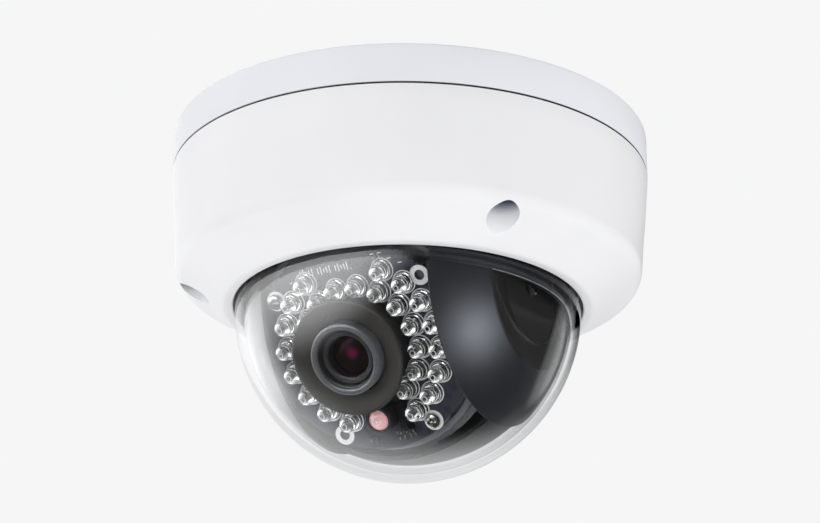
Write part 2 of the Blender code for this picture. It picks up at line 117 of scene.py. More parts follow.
# Shader building ----------------------------------------------------------------------
class Wire:
    """A socket in a node tree. Arithmetic on it adds Math nodes."""

    def __init__(self, tree, socket=None):
        self.tree, self.socket = tree, socket

    def node(self, kind, settings=(), sockets=(), output=0):
        """Add any node: its type, its settings, then its sockets' values or wires."""
        made = self.tree.nodes.new("ShaderNode" + kind)
        for name, value in dict(settings).items():
            setattr(made, name, value)
        for name, value in dict(sockets).items():
            if isinstance(value, Wire):
                self.tree.links.new(value.socket, made.inputs[name])
            elif isinstance(value, tuple) and made.inputs[name].type == "RGBA":
                made.inputs[name].default_value = (*value, 1.0)
            else:
                made.inputs[name].default_value = value
        return Wire(self.tree, made.outputs[output])

    def maths(self, operation, *terms):
        """A Math node on these terms."""
        return self.node("Math", {"operation": operation}, dict(enumerate(terms)))

    def __add__(self, other):
        return self.maths("ADD", self, other)

    def __sub__(self, other):
        return self.maths("SUBTRACT", self, other)

    def __rsub__(self, other):
        return self.maths("SUBTRACT", other, self)

    def __mul__(self, other):
        return self.maths("MULTIPLY", self, other)

    def __pow__(self, other):
        return self.maths("POWER", self, other)

    __radd__, __rmul__ = __add__, __mul__

    def between(self, low, high):
        """0 below low, 1 above high, smooth in between."""
        return self.node("MapRange", {"interpolation_type": "SMOOTHSTEP"},
                         {"Value": self, "From Min": low, "From Max": high})

    def tint(self, dark, light):
        """A colour from dark to light, by this value."""
        return self.node("Mix", {"data_type": "RGBA"}, {0: self, 6: dark, 7: light}, 2)


def object_noise(wire, scale, detail=2.0, roughness=0.5):
    """Noise fixed to the piece, with this many grains to a metre."""
    place = wire.node("TexCoord", output=3)
    return wire.node("TexNoise", (), {"Vector": place, "Scale": scale, "Detail": detail,
                                      "Roughness": roughness})


def bumped(wire, height, depth, strength=1.0):
    """A normal that rises by depth metres where height is 1."""
    return wire.node("Bump", (), {"Height": height, "Distance": depth,
                                  "Strength": strength})


def material(name, paint):
    """A material whose surface is the wire that paint(wire) returns."""
    made = bpy.data.materials.new(name)
    made.use_nodes = True
    tree = made.node_tree
    tree.nodes.clear()
    surface = paint(Wire(tree))
    output = tree.nodes.new("ShaderNodeOutputMaterial")
    tree.links.new(surface.socket, output.inputs["Surface"])
    return made


def powder_coat(wire, dark, light, roughness):
    """Satin powder coat on cast metal, with a fine orange peel and faint unevenness."""
    peel = object_noise(wire, 1400, 3.0)
    cloud = object_noise(wire, 28, 3.0)
    return wire.node("BsdfPrincipled", (), {
        "Base Color": cloud.between(0.3, 0.7).tint(dark, light),
        "Roughness": roughness + cloud * 0.12, "Normal": bumped(wire, peel, 0.00002, 0.5),
        "Specular IOR Level": 0.2, "Coat Weight": 0.04, "Coat Roughness": 0.25})


def white_paint(wire):
    """Coat of the cover."""
    return powder_coat(wire, (0.80, 0.80, 0.815), (0.83, 0.83, 0.84), 0.4)


def base_paint(wire):
    """Coat of the base band, a shade cooler than the cover's."""
    return powder_coat(wire, (0.755, 0.760, 0.800), (0.785, 0.790, 0.825), 0.42)


def recess_painted_shade(wire):
    """The same coat inside the screw recesses, with painted light near the mouth and painted
    shade, dark and blue, deeper in.
    """
    place = wire.node("TexCoord", output=3)
    height = wire.node("SeparateXYZ", (), {"Vector": place}, 2)
    cloud = object_noise(wire, 400, 3.0)
    # Painted shade: the colour runs from near white at the recess mouth to dark blue deeper in,
    # by height.
    depth = (height + cloud * 0.0006).between(-0.0356, -0.0316)
    return wire.node("BsdfPrincipled", (), {
        "Base Color": depth.tint((0.96, 0.965, 0.98), (0.075, 0.095, 0.16)),
        "Roughness": 0.5 + cloud * 0.12, "Specular IOR Level": 0.3})


def facet_plastic(wire):
    """Polished flat of the black cheeks, with a faint warm cast."""
    grain = object_noise(wire, 2600, 2.0, 0.6)
    colour = grain.between(0.3, 0.7).tint((0.009, 0.009, 0.008), (0.014, 0.014, 0.012))
    return wire.node("BsdfPrincipled", (), {
        "Base Color": colour, "Roughness": 0.16 + grain * 0.08,
        "Specular IOR Level": 0.15})


def painted_edge_highlight(wire):
    """Light grey paint on a thin ring along the cheeks' band: a painted highlight line, not
    wear.
    """
    grain = object_noise(wire, 900, 3.0, 0.6)
    colour = grain.between(0.3, 0.7).tint((0.24, 0.24, 0.24), (0.42, 0.42, 0.41))
    return wire.node("BsdfPrincipled", (), {
        "Base Color": colour, "Roughness": 0.3 + grain * 0.2})


def black_plastic(wire):
    """Moulded black plastic with a fine spark-eroded grain."""
    grain = object_noise(wire, 5200, 2.0, 0.6)
    cloud = object_noise(wire, 60, 2.0)
    colour = grain.between(0.35, 0.7).tint((0.003, 0.003, 0.004), (0.007, 0.007, 0.009))
    return wire.node("BsdfPrincipled", (), {
        "Base Color": colour, "Roughness": 0.38 + cloud * 0.08,
        "Normal": bumped(wire, grain, 0.00003, 0.6), "IOR": 1.5})


def grey_plastic(wire):
    """Dark blue-grey moulded plastic, smoother than the shroud."""
    grain = object_noise(wire, 3000, 2.0)
    colour = grain.between(0.3, 0.7).tint((0.12, 0.123, 0.135), (0.165, 0.168, 0.18))
    return wire.node("BsdfPrincipled", (), {
        "Base Color": colour, "Roughness": 0.38 + grain * 0.15,
        "Normal": bumped(wire, grain, 0.00002, 0.4)})


def shade_plastic(wire):
    """Matt warm black of the lens shade, dusted with a fine grain."""
    grain = object_noise(wire, 4200, 3.0, 0.7)
    colour = grain.between(0.3, 0.75).tint((0.018, 0.017, 0.015), (0.038, 0.035, 0.031))
    return wire.node("BsdfPrincipled", (), {
        "Base Color": colour, "Roughness": 0.6 + grain * 0.2,
        "Normal": bumped(wire, grain, 0.00004, 0.5)})


def black_rubber(wire):
    """Dull rubber of the gasket, seal and grommet."""
    grain = object_noise(wire, 2200, 2.0)
    colour = grain.between(0.3, 0.7).tint((0.008, 0.008, 0.009), (0.018, 0.018, 0.02))
    return wire.node("BsdfPrincipled", (), {
        "Base Color": colour, "Roughness": 0.7 + grain * 0.2,
        "Normal": bumped(wire, grain, 0.00004, 0.5)})


def steel(wire):
    """Bright screw steel with faint turning marks."""
    marks = object_noise(wire, 900, 4.0, 0.7)
    colour = marks.between(0.3, 0.7).tint((0.50, 0.49, 0.47), (0.68, 0.67, 0.65))
    return wire.node("BsdfPrincipled", (), {
        "Base Color": colour, "Metallic": 1.0, "Roughness": 0.16 + marks * 0.16,
        "Normal": bumped(wire, marks, 0.00001, 0.5)})


def zinc_plate(wire):
    """Zinc-plated sheet steel with its large soft spangle."""
    place = wire.node("TexCoord", output=3)
    spangle = wire.node("TexVoronoi", (), {"Vector": place, "Scale": 260})
    colour = spangle.between(0.0, 0.9).tint((0.46, 0.47, 0.48), (0.62, 0.63, 0.64))
    return wire.node("BsdfPrincipled", (), {
        "Base Color": colour, "Metallic": 1.0, "Roughness": 0.3 + spangle * 0.2})


def barrel_metal(wire):
    """Dark anodised lens barrel, brushed round."""
    marks = object_noise(wire, 2600, 2.0)
    colour = marks.between(0.3, 0.7).tint((0.082, 0.084, 0.090), (0.115, 0.118, 0.125))
    return wire.node("BsdfPrincipled", (), {
        "Base Color": colour, "Roughness": 0.28 + marks * 0.12, "Coat Weight": 0.3,
        "Normal": bumped(wire, marks, 0.00001, 0.5)})


def barrel_step(wire):
    """Dark satin ring that holds the front element."""
    marks = object_noise(wire, 2600, 2.0)
    colour = marks.between(0.3, 0.7).tint((0.022, 0.022, 0.023), (0.036, 0.036, 0.037))
    return wire.node("BsdfPrincipled", (), {
        "Base Color": colour, "Roughness": 0.32 + marks * 0.16})


def barrel_inside(wire):
    """Blackened steps inside the lens barrel."""
    marks = object_noise(wire, 2600, 2.0)
    colour = marks.between(0.3, 0.7).tint((0.014, 0.013, 0.013), (0.024, 0.023, 0.023))
    return wire.node("BsdfPrincipled", (), {
        "Base Color": colour, "Roughness": 0.35 + marks * 0.2})


def circuit_black(wire):
    """Black solder mask over copper: the tracks stand up under it."""
    place = wire.node("TexCoord", output=3)
    cells = wire.node("TexVoronoi", {"distance": "CHEBYCHEV", "feature": "F1"},
                      {"Vector": place, "Scale": 420, "Randomness": 0.9})
    tracks = cells.between(0.30, 0.36)
    colour = tracks.tint((0.020, 0.022, 0.034), (0.029, 0.032, 0.047))
    return wire.node("BsdfPrincipled", (), {
        "Base Color": colour, "Roughness": 0.30 + tracks * 0.08,
        "Normal": bumped(wire, tracks, 0.00002, 0.4), "Coat Weight": 0.5,
        "Coat Roughness": 0.12})


def circuit_green(wire):
    """Green solder mask of the boards inside."""
    place = wire.node("TexCoord", output=3)
    cells = wire.node("TexVoronoi", {"distance": "CHEBYCHEV"},
                      {"Vector": place, "Scale": 380})
    tracks = cells.between(0.3, 0.36)
    colour = tracks.tint((0.008, 0.07, 0.03), (0.02, 0.13, 0.06))
    return wire.node("BsdfPrincipled", (), {
        "Base Color": colour, "Roughness": 0.35 + tracks * 0.08,
        "Normal": bumped(wire, tracks, 0.00002, 0.4)})


def white_print(wire):
    """White ink printed on the infra-red board."""
    ink = object_noise(wire, 5000, 2.0)
    colour = ink.between(0.3, 0.6).tint((0.62, 0.63, 0.62), (0.86, 0.87, 0.86))
    return wire.node("BsdfPrincipled", (), {
        "Base Color": colour, "Roughness": 0.5 + ink * 0.1})


def solder(wire):
    """Tinned pads and joints."""
    lumps = object_noise(wire, 1800, 2.0)
    colour = lumps.between(0.3, 0.7).tint((0.62, 0.61, 0.58), (0.85, 0.84, 0.80))
    return wire.node("BsdfPrincipled", (), {
        "Base Color": colour, "Metallic": 1.0, "Roughness": 0.18 + lumps * 0.2,
        "Normal": bumped(wire, lumps, 0.00005, 0.6)})


def led_epoxy(wire):
    """Water-clear epoxy."""
    flow = object_noise(wire, 500, 2.0)
    return wire.node("BsdfPrincipled", (), {
        "Base Color": flow.between(0.3, 0.7).tint((0.93, 0.95, 0.97), (0.98, 0.99, 1.0)),
        "Roughness": 0.0, "IOR": 1.52, "Transmission Weight": 1.0})


def led_reflector(wire):
    """Silvered cup and leads inside a lamp."""
    marks = object_noise(wire, 2500, 2.0)
    colour = marks.between(0.3, 0.7).tint((0.80, 0.80, 0.78), (0.96, 0.95, 0.92))
    return wire.node("BsdfPrincipled", (), {
        "Base Color": colour, "Metallic": 1.0, "Roughness": 0.12 + marks * 0.1})


def painted_highlight(wire):
    """Bright paint for painted highlights: thin rings at each lamp's epoxy steps and tip, and
    the glint ring round the photocell's die, which is painted in the same bright white.
    """
    glint = object_noise(wire, 1500, 2.0)
    colour = glint.between(0.35, 0.65).tint((0.55, 0.55, 0.55), (0.97, 0.97, 0.95))
    return wire.node("BsdfPrincipled", (), {
        "Base Color": colour, "Roughness": 0.2 + glint * 0.2})


def dome_clear(wire):
    """Polished polycarbonate, seen through and mirroring more towards its edge."""
    tint = wire.node("BsdfTransparent", (), {"Color": (0.965, 0.968, 0.972)})
    mirror = wire.node("BsdfGlossy", (), {"Color": (1.0, 1.0, 1.0), "Roughness": 0.015})
    edge = wire.node("LayerWeight", (), {"Blend": 0.5}, 1)
    return wire.node("MixShader", (), {0: 0.03 + 0.97 * edge ** 5, 1: tint, 2: mirror})


def lens_glass(wire):
    """Coated front element: almost black, with a painted magenta reflection at the pupil."""
    place = wire.node("TexCoord", output=3)
    # Painted reflection: a magenta spot in the base colour, a little off the lens axis, fading
    # to near black.
    flat = wire.node("VectorMath", {"operation": "MULTIPLY_ADD"},
                     {0: place, 1: (1, 1, 0), 2: (-0.0008, -0.0006, 0)})
    away = wire.node("VectorMath", {"operation": "LENGTH"}, {0: flat}, 1)
    glow = 1 - away.between(0.0003, 0.0019)
    colour = glow.tint((0.010, 0.006, 0.005), (0.11, 0.010, 0.040))
    return wire.node("BsdfPrincipled", (), {
        "Base Color": colour, "Roughness": 0.05 + glow * 0.05, "IOR": 1.5,
        "Specular IOR Level": 0.08, "Specular Tint": (1.0, 0.45, 0.75)})


def photocell_red(wire):
    """Tinted red window of the day and night sensor."""
    cloud = object_noise(wire, 700, 2.0)
    colour = cloud.between(0.3, 0.7).tint((0.95, 0.48, 0.50), (0.98, 0.58, 0.60))
    return wire.node("BsdfPrincipled", (), {
        "Base Color": colour, "Roughness": 0.12 + cloud * 0.1, "Coat Weight": 0.6,
        "Coat Roughness": 0.05})


def floor_paint(wire):
    """Plain pale studio floor."""
    speck = object_noise(wire, 40, 3.0)
    return wire.node("BsdfPrincipled", (), {
        "Base Color": speck.between(0.2, 0.8).tint((0.80, 0.80, 0.80), (0.84, 0.84, 0.84)),
        "Roughness": 0.7 + speck * 0.1})


PAINTS = (white_paint, base_paint, recess_painted_shade, black_plastic, facet_plastic, painted_edge_highlight,
          grey_plastic, shade_plastic, black_rubber, steel, zinc_plate, barrel_metal,
          barrel_step, barrel_inside, circuit_black, circuit_green, white_print, solder,
          led_epoxy, painted_highlight, led_reflector, dome_clear, lens_glass, photocell_red,
          floor_paint)
FINISH = {paint.__name__: material(paint.__name__, paint) for paint in PAINTS}


# Mesh building ------------------------------------------------------------------------
def arc(centre, radius, first, last, steps):
    """Points of an arc between two angles in degrees, both ends included."""
    angles = [radians(first + (last - first) * k / steps) for k in range(steps + 1)]
    return [(centre[0] + radius * cos(a), centre[1] + radius * sin(a)) for a in angles]


def polar(radius, angle):
    """A point on a circle, from its angle in degrees."""
    return radius * cos(radians(angle)), radius * sin(radians(angle))


def sphere_points(radius, first, last, steps):
    """Outline of a sphere about Z, as (radius, height), between two heights."""
    start, end = asin(first / radius), asin(last / radius)
    angles = [start + (end - start) * k / steps for k in range(steps + 1)]
    return [(radius * cos(a), radius * sin(a)) for a in angles]


def rounded(outline, radius, steps=3):
    """A closed outline with each corner turned into a curve that fits its two sides."""
    count = len(outline)
    points = []
    for k, corner in enumerate(outline):
        here = Vector(corner)
        back = Vector(outline[k - 1]) - here
        on = Vector(outline[(k + 1) % count]) - here
        if back.angle(on, pi) > radians(NEARLY_STRAIGHT):
            points.append(corner)
            continue
        cut = min(radius, 0.45 * back.length, 0.45 * on.length)
        first, last = here + back.normalized() * cut, here + on.normalized() * cut
        for step in range(steps + 1):
            t = step / steps
            blend = first * (1 - t) ** 2 + here * (2 * t * (1 - t)) + last * t ** 2
            points.append((blend.x, blend.y))
    return points


def lathe(outline, steps=128, sweep=360.0, start=0.0):
    """Revolve an outline of (radius, height) about Z, as a bmesh in millimetres."""
    bm = bmesh.new()
    aim = radians(start)
    points = [bm.verts.new((r * cos(aim), r * sin(aim), h)) for r, h in outline]
    edges = [bm.edges.new(pair) for pair in zip(points, points[1:])]
    if outline[0][0] > 0:
        edges.append(bm.edges.new((points[-1], points[0])))
    full = sweep == 360.0
    bmesh.ops.spin(bm, geom=points + edges, cent=(0, 0, 0), axis=(0, 0, 1),
                   angle=radians(sweep), steps=steps, use_merge=full)
    bmesh.ops.remove_doubles(bm, verts=bm.verts, dist=1e-5)
    if not full:
        bmesh.ops.holes_fill(bm, edges=[edge for edge in bm.edges if edge.is_boundary])
    return bm


def circle(x, y, radius, steps=48):
    """Points of a circle."""
    return [(x + radius * cos(2 * pi * k / steps), y + radius * sin(2 * pi * k / steps))
            for k in range(steps)]


def sheet(outline, holes, low, high):
    """A flat plate with holes from closed outlines, as a bmesh in millimetres."""
    bm = bmesh.new()
    edges = []
    for loop in [outline] + holes:
        points = [bm.verts.new((x, y, low)) for x, y in loop]
        edges += [bm.edges.new(pair) for pair in zip(points, points[1:] + points[:1])]
    bmesh.ops.triangle_fill(bm, use_beauty=True, use_dissolve=False, edges=edges)
    lifted = bmesh.ops.extrude_face_region(bm, geom=bm.faces[:])
    moved = [item for item in lifted["geom"] if isinstance(item, bmesh.types.BMVert)]
    bmesh.ops.translate(bm, vec=(0, 0, high - low), verts=moved)
    return bm


def rods(members, steps=32):
    """Upright rods, each (x, y, radius, low, high), as one bmesh."""
    bm = bmesh.new()
    for x, y, radius, low, high in members:
        rod = bmesh.ops.create_cone(bm, cap_ends=True, segments=steps, radius1=radius,
                                    radius2=radius, depth=high - low)
        bmesh.ops.translate(bm, vec=(x, y, (low + high) / 2), verts=rod["verts"])
    return bm


def brick(low, high):
    """A plain box between two corners, for cutting and for chips on the boards."""
    bm = bmesh.new()
    bmesh.ops.create_cube(bm, size=1.0)
    bmesh.ops.scale(bm, vec=[b - a for a, b in zip(low, high)], verts=bm.verts)
    bmesh.ops.translate(bm, vec=[(a + b) / 2 for a, b in zip(low, high)], verts=bm.verts)
    return bm


def join(*parts):
    """Several bmeshes as one."""
    whole = bmesh.new()
    for bm in parts:
        mesh = bpy.data.meshes.new("part")
        bm.to_mesh(mesh)
        bm.free()
        whole.from_mesh(mesh)
        bpy.data.meshes.remove(mesh)
    return whole


def to_mesh(name, bm, finishes, sharp=SHARP_ANGLE):
    """A smooth-shaded mesh in metres, with its faces pointing out."""
    bmesh.ops.scale(bm, vec=(MM, MM, MM), verts=bm.verts)
    bmesh.ops.recalc_face_normals(bm, faces=bm.faces)
    if bm.calc_volume(signed=True) < 0:
        bmesh.ops.reverse_faces(bm, faces=bm.faces)
    mesh = bpy.data.meshes.new(name)
    bm.to_mesh(mesh)
    bm.free()
    mesh.shade_smooth()
    mesh.set_sharp_from_angle(angle=radians(sharp))
    for finish in finishes:
        mesh.materials.append(FINISH[finish])
    return mesh


def place_mesh(name, mesh, place):
    """An object for a mesh, standing in a place's axes."""
    made = bpy.data.objects.new(name, mesh)
    bpy.context.scene.collection.objects.link(made)
    made.matrix_world = place
    return made


def carve(target, bm, operation="DIFFERENCE"):
    """Cut a bmesh shape out of an object, or add it, in the object's own axes."""
    tool = place_mesh("tool", to_mesh("tool", bm, ()), target.matrix_world)
    modifier = target.modifiers.new("carve", "BOOLEAN")
    modifier.operation, modifier.solver, modifier.object = operation, "EXACT", tool
    bpy.context.view_layer.update()
    graph = bpy.context.evaluated_depsgraph_get()
    cut = bpy.data.meshes.new_from_object(target.evaluated_get(graph))
    cut.name = target.data.name
    target.modifiers.clear()
    target.data = cut
    cut.shade_smooth()
    cut.set_sharp_from_angle(angle=radians(SHARP_ANGLE))
    bpy.data.objects.remove(tool)


def refinish(piece, finish, chosen):
    """Give another finish to the faces that chosen(face) picks."""
    piece.data.materials.append(FINISH[finish])
    for face in piece.data.polygons:
        if chosen(face):
            face.material_index = len(piece.data.materials) - 1


def settle(piece, body, slot, *nodes):
    """Attach a finished piece to the body it rides on, and hide the CAD nodes it stands for. The
    slot is not used.
    """
    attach(piece, body)
    if nodes:
        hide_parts(*nodes)


def turned_piece(name, outline, finish, place, body, slot, *nodes, steps=128,
                 sharp=SHARP_ANGLE):
    """Make a turned piece in its place, and settle it."""
    mesh = to_mesh(name, lathe(outline, steps), (finish,), sharp)
    settle(place_mesh(name, mesh, place), body, slot, *nodes)


# Housing ------------------------------------------------------------------------------
SCREW_AT = [middle(HOUSING, f"cover_screw_{k}")[:2] for k in (1, 2, 3)]
RECESS_R = 3.7


def mounting_base():
    """Upper band and back plate, with the cable hole and the wall screw holes."""
    outline = [(0, 0), (SHELL_R - 0.9, 0)] + arc((SHELL_R - 0.9, -0.6), 0.6, 80, 10, 5)
    outline += [(SHELL_R - 0.25, -1.0), (SHELL_R - 0.02, SEAM_Z + 0.25),
                (SHELL_R - 0.12, SEAM_Z + 0.05), (SHELL_R - 0.35, SEAM_Z),
                (SHELL_R - 2.9, SEAM_Z), (SHELL_R - 3.2, -3), (0, -3)]
    mesh = to_mesh("base_casting", lathe(outline, 192), ("base_paint",))
    base = place_mesh("base_casting", mesh, HOUSING)
    x, y, _ = middle(HOUSING, "cable_grommet")
    holes = [(x, y, 8.0, -6, 3)]
    for sx, sy in SCREW_AT:
        share = 27.0 / hypot(sx, sy)
        holes.append((sx * share, sy * share, 2.25, -6, 3))
    carve(base, rods(holes))
    settle(base, "housing", "white_paint", "mounting_base")
    sleeve = [(3.6, -0.3), (7.7, -0.3), (7.7, -3.3), (9.7, -3.3), (9.7, -4.8), (3.6, -4.8)]
    turned_piece("cable_sleeve", rounded(sleeve, 0.5), "black_rubber",
                 Matrix.Translation((x * MM, y * MM, 0)), "housing", "black_rubber",
                 "cable_grommet", steps=64)


def seam_gasket():
    """Rubber gasket whose thin lip fills the seam between band and cover."""
    low, high = heights("base_gasket")
    edge = reach("base_gasket")
    seam = (SEAM_Z + COVER_TOP) / 2
    outline = [(51.7, high), (51.7, low), (edge, low),
               (edge, seam - 0.18), (SHELL_R - 0.2, seam - 0.18),
               (SHELL_R - 0.1, seam), (SHELL_R - 0.2, seam + 0.18), (52.5, seam + 0.18)]
    turned_piece("seam_gasket", outline, "black_rubber", HOUSING, "housing",
                 "black_rubber", "base_gasket", steps=192)


def dome_cover():
    """Cast cover: drafted wall, soft shoulder, sloped face, rolled lip, three recesses."""
    top = COVER_TOP
    lip_r = DOME_R + 0.4
    outline = [(51.4, top - 1.4), (54.4, top - 1.4), (54.4, top)]
    outline += [(SHELL_R - 0.3, top), (SHELL_R - 0.08, top - 0.1), (SHELL_R - 0.02, top - 0.3)]
    outline += [(55.28, -14.0), (54.92, -20.0), (54.45, -26.0)]
    outline += arc((49.8, -32.4), 4.3, 2, -54, 14)
    outline += [(47.4, -38.75)] + arc((42.2, -40.62), 1.88, -52, -92, 6)
    outline += arc((lip_r + 0.45, RIM_Z + 0.45), 0.45, -90, -180, 5)
    outline += [(lip_r, -37.5), (44.4, -37.5), (51.4, -31.6)]
    mesh = to_mesh("cover_casting", lathe(outline, 240), ("white_paint",))
    cover = place_mesh("cover_casting", mesh, HOUSING)
    columns = [(x, y, 5.2, -38.5, -11.6) for x, y in SCREW_AT]
    columns += [(*polar(47.0, degrees(atan2(y, x)) + 60), 2.6, -37.5, -33.9)
                for x, y in SCREW_AT]
    core = place_mesh("cover_columns", to_mesh("cover_columns", rods(columns, 48), ()),
                      HOUSING)
    carve(core, lathe([(51.6, 0), (70, 0), (70, -60), (44, -60), (44, -41), (47.3, -38.6),
                       (51.6, -35.3)], 240))
    grown = bmesh.new()
    grown.from_mesh(core.data)
    bmesh.ops.scale(grown, vec=(1 / MM, 1 / MM, 1 / MM), verts=grown.verts)
    bpy.data.objects.remove(core)
    carve(cover, grown, "UNION")
    carve(cover, rods([(x, y, RECESS_R, -60, -26) for x, y in SCREW_AT], 64))
    corners = cover.data.vertices
    # The recess walls take the coat with painted light and painted shade by depth.
    refinish(cover, "recess_painted_shade", lambda face: face.center.z < -0.0255 and any(
        all(hypot(corners[k].co.x - x * MM, corners[k].co.y - y * MM)
            < (RECESS_R + 0.02) * MM for k in face.vertices) for x, y in SCREW_AT))
    settle(cover, "housing", "white_paint", "dome_cover")


def cover_screws():
    """Tamper-resistant screws: a rounded head with six lobes and a centre pin."""
    head, tip = heights("cover_screw_1")
    outline = [(0, tip), (1.3, tip), (1.5, tip - 0.3), (1.5, head + 2.2),
               (2.75, head + 2.2), (2.9, head + 2.0), (2.9, head + 1.0), (2.5, head + 0.35),
               (1.9, head), (0, head)]
    lobes = []
    for k in range(72):
        angle = 2 * pi * k / 72
        radius = 1.25 + 0.16 * cos(6 * angle)
        lobes.append((radius * cos(angle), radius * sin(angle)))
    screw = to_mesh("cover_screw_body", lathe(outline, 48), ("steel",))
    first = place_mesh("screw_model", screw, HOUSING)
    carve(first, sheet(lobes, [circle(0, 0, 0.4, 16)], head - 1, head + 1.3))
    for number, (x, y) in enumerate(SCREW_AT, 1):
        piece = place_mesh(f"tamper_screw_{number}", first.data,
                           Matrix.Translation((x * MM, y * MM, 0)))
        settle(piece, "housing", "screw_steel", f"cover_screw_{number}")
    bpy.data.objects.remove(first)


def clear_dome():
    """Clear dome with its neck and flange."""
    inner = DOME_R - 2.0
    flange_r = reach("clear_dome")
    top = heights("clear_dome")[1]
    outline = arc((0, DOME_Z), DOME_R, -90, 0, 56)
    outline += [(DOME_R, top - 2.2), (DOME_R + 0.3, top - 2), (flange_r, top - 2),
                (flange_r, top), (inner, top)]
    outline += arc((0, DOME_Z), inner, 0, -90, 56)
    outline[0] = (0, outline[0][1])
    outline[-1] = (0, outline[-1][1])
    turned_piece("dome_bubble", outline, "dome_clear", HOUSING, "housing", "clear_plastic",
                 "clear_dome", steps=160)


# Pan stage ----------------------------------------------------------------------------
def side_shells():
    """Black cheeks of the ball, each with its flat face, shallow round recess and band."""
    inner = SHROUD_R - 1.2
    top = heights("side_shell_right", PAN)[1]
    band_top = -41.5 - BALL_Z
    ledge = -44.7 - BALL_Z
    face_r = sqrt(SHROUD_R ** 2 - FACET_X ** 2)
    outline = [(sqrt(SHROUD_R ** 2 - SLOT_HALF ** 2) - 0.12, SLOT_HALF)]
    outline += sphere_points(SHROUD_R, SLOT_HALF + 0.12, FACET_X - 0.12, 24)
    outline += [(face_r - 0.2, FACET_X)]
    outline += [(13.1, FACET_X), (12.95, FACET_X - 0.08), (12.8, FACET_X - 0.4),
                (1.6, FACET_X - 0.4), (1.6, FACET_X - 1.4)]
    outline += sphere_points(inner, FACET_X - 1.4, SLOT_HALF, 24)
    reach_in = SHROUD_R - 1.3
    room = [(reach_in, ledge), (60, ledge), (60, 60), (reach_in, 60)]
    band = [(SHROUD_R - 1, ledge - 0.02), (SHROUD_R - 0.25, ledge - 0.02),
            (SHROUD_R - 0.06, ledge + 0.1), (SHROUD_R, ledge + 0.3), (SHROUD_R, band_top),
            (SHROUD_R - 1, band_top)]
    for side, middle_angle in (("left", 180.0), ("right", 0.0)):
        turn = Matrix.Rotation(-pi / 2 if side == "left" else pi / 2, 4, "Y")
        body = lathe(outline, 160)
        bmesh.ops.transform(body, matrix=turn, verts=body.verts)
        shell = place_mesh(f"cheek_{side}", to_mesh(f"cheek_{side}", body,
                                                    ("black_plastic",)), PAN)
        carve(shell, lathe(room, 160))
        carve(shell, brick((-50, -50, top), (50, 50, 60)))
        carve(shell, lathe(band, 60, sweep=108.0, start=middle_angle - 54.0), "UNION")
        refinish(shell, "facet_plastic", lambda face: abs(face.normal.x) > 0.999
                 and abs(face.center.x) > (FACET_X - 0.6) * MM)
        # A thin light grey ring along the band's lower ledge: a painted highlight line.
        edge = lathe([(SHROUD_R - 0.09 + 0.1 * cos(pi * k / 3),
                       ledge + 0.1 + 0.1 * sin(pi * k / 3)) for k in range(6)], 60,
                     sweep=62.0, start=middle_angle - 31.0)
        settle(place_mesh(f"band_highlight_line_{side}", to_mesh("band_highlight_line", edge, ("painted_edge_highlight",)),
                          PAN), "pan_stage", "black_plastic")
        settle(shell, "pan_stage", "black_plastic", f"side_shell_{side}")


def tilt_screws():
    """Pivot screws in the flat faces: domed washer head with a cross recess."""
    seat = FACET_X - 0.3
    outline = [(0, 27.6), (1.2, 27.6), (1.2, seat), (2.5, seat), (2.55, seat + 0.25),
               (2.1, seat + 0.4), (1.9, seat + 0.5), (1.85, seat + 1.0), (1.5, seat + 1.35),
               (0.9, seat + 1.5), (0, seat + 1.55)]
    for side in ("left", "right"):
        head = place_mesh(f"pivot_screw_{side}",
                          to_mesh("pivot_screw", lathe(outline, 48), ("steel",)),
                          SIDES[side])
        carve(head, brick((-1.2, -0.25, seat + 0.6), (1.2, 0.25, seat + 3)))
        carve(head, brick((-0.25, -1.2, seat + 0.6), (0.25, 1.2, seat + 3)))
        settle(head, "pan_stage", "screw_steel", f"tilt_screw_{side}")


# Tilt stage ---------------------------------------------------------------------------
def eyeball_shell():
    """Slice of the ball behind the module, made in world axes."""
    half, outer, inner = SLOT_HALF - 0.2, 36.0, 34.8
    outline = sphere_points(outer, -half, half, 40) + sphere_points(inner, half, -half, 40)
    place = TILT @ Matrix.Rotation(-pi / 2, 4, "Y") @ Matrix.Rotation(pi, 4, "X")
    mesh = to_mesh("eyeball_slice", lathe(outline, 72, sweep=97.0, start=55.7),
                   ("black_plastic",))
    mesh.transform(place)
    piece = place_mesh("eyeball_slice", mesh, HOUSING)
    settle(piece, "tilt_stage", "black_plastic", "eyeball_shell")


# Camera module ------------------------------------------------------------------------
BOARD_HOLES = [(-18.4, 13.5), (18.4, 13.5), (-11.5, -20.1), (11.5, -20.1)]
BOARD_TOP = 21.0          # the board's straight top edge
BOARD_TOP_HALF = 13.4     # half of its length
BOARD_SHOULDER = 15.0     # where the cut corners meet the round edge
TEETH = 6                 # teeth along each cut corner
LED_NODES = [f"ir_led_{k:02d}" for k in range(1, 31)]
BARS = [(-11.2 + 0.75 * k, 18.6, 0.45 + 0.25 * ((k * 7) % 3)) for k in range(18) if k % 6]
DASHES = [(12.2, 18.6), (14.6, 17.2), (9.6, 16.4), (-13.2, 17.0), (8.4, 20.2), (10.2, 20.2)]


def board_tray():
    """Tray behind the board: stepped rim and standoffs."""
    outline = [(MODULE_BORE, 9.0), (12.0, 9.0), (12.0, 13.0), (26.1, 13.0), (26.1, 16.9),
               (26.95, 16.9), (26.95, 20.6), (26.6, 21.0), (25.6, 21.0), (25.4, 20.8),
               (25.4, 19.5), (MODULE_BORE, 19.5)]
    mesh = to_mesh("module_tray", lathe(rounded(outline, 0.25, 2), 160), ("grey_plastic",))
    tray = place_mesh("module_tray", mesh, LENS)
    posts = [(x, y, 2.2, 19.0, BOARD_BACK - 0.2) for x, y in BOARD_HOLES]
    carve(tray, rods(posts), "UNION")
    settle(tray, "camera_module", "grey_plastic", "board_tray")


